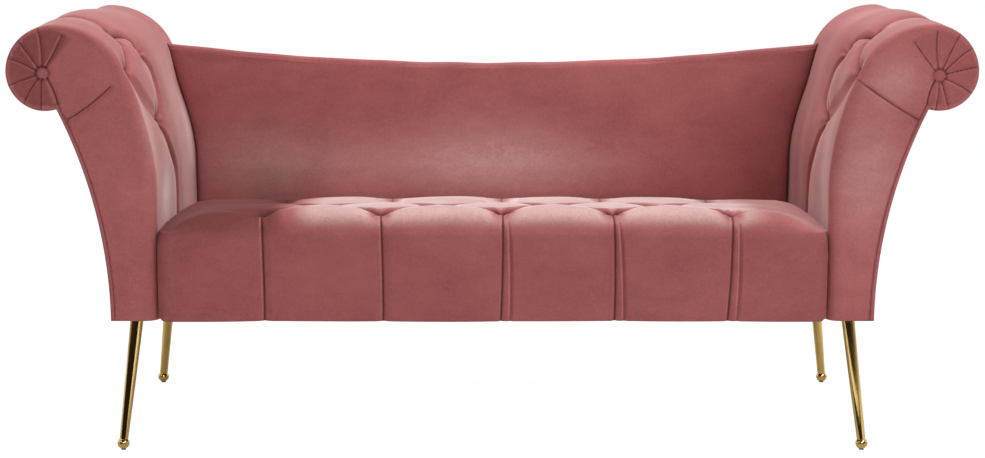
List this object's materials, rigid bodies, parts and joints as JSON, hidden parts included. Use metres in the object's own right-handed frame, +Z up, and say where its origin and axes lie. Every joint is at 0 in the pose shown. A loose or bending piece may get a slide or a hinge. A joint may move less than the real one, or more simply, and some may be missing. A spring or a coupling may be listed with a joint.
{
  "type": "chaise longue",
  "caption": "Double-ended chaise longue with rolled scroll arms, a low hollow-topped back, a diamond-tufted velvet seat and splayed brass legs on ball feet.",
  "frame": {"origin": "on the floor, under the middle of the overall box", "axes": "+X along the length, to the right as seen from the front; -Y is the front; +Z is up"},
  "size_m": [1.71, 0.65, 0.786],
  "materials": {
    "velvet": "dusty rose pile velvet over wadding",
    "foam": "open-cell upholstery foam",
    "felt": "grey needled felt",
    "cord": "waxed tufting cord with toggles",
    "lining": "black non-woven lining",
    "hardwood": "planed beech, unfinished",
    "plywood": "sanded birch plywood",
    "fibreboard": "hardboard",
    "spring_steel": "oiled spring wire",
    "zinc_steel": "bright zinc plate",
    "brass": "polished brass plate",
    "nylon": "black nylon"
  },
  "bodies": {
    "root": {"seat_cover": "velvet", "back_cover": "velvet", "back_outer_panel": "velvet", "left_arm_cover": "velvet", "right_arm_cover": "velvet", "left_arm_outer_panel": "velvet", "right_arm_outer_panel": "velvet", "left_arm_rear_panel": "velvet", "right_arm_rear_panel": "velvet", "left_scroll_button": "velvet", "right_scroll_button": "velvet", "seat_foam": "foam", "back_foam": "foam", "left_arm_foam": "foam", "right_arm_foam": "foam", "spring_pad": "felt", "tuft_ties": "cord", "dust_cover": "lining", "front_rail": "hardwood", "rear_rail": "hardwood", "left_side_rail": "hardwood", "right_side_rail": "hardwood", "seat_stretchers": "hardwood", "corner_blocks": "hardwood", "left_arm_bolt_rail": "hardwood", "right_arm_bolt_rail": "hardwood", "left_arm_battens": "hardwood", "right_arm_battens": "hardwood", "back_top_rail": "hardwood", "back_bottom_rail": "hardwood", "back_posts": "hardwood", "left_arm_front_board": "plywood", "right_arm_front_board": "plywood", "left_arm_rear_board": "plywood", "right_arm_rear_board": "plywood", "left_arm_base_board": "plywood", "right_arm_base_board": "plywood", "left_arm_skin": "fibreboard", "right_arm_skin": "fibreboard", "back_board": "fibreboard", "sinuous_springs": "spring_steel", "spring_clips": "spring_steel", "leg_plates": "zinc_steel", "leg_plate_screws": "zinc_steel", "arm_bolts": "zinc_steel", "arm_bolt_nuts": "zinc_steel", "back_bolts": "zinc_steel", "back_bolt_nuts": "zinc_steel", "left_front_leg": "brass", "right_front_leg": "brass", "left_rear_leg": "brass", "right_rear_leg": "brass", "ball_feet": "brass", "foot_glides": "nylon"}
  },
  "joints": []
}
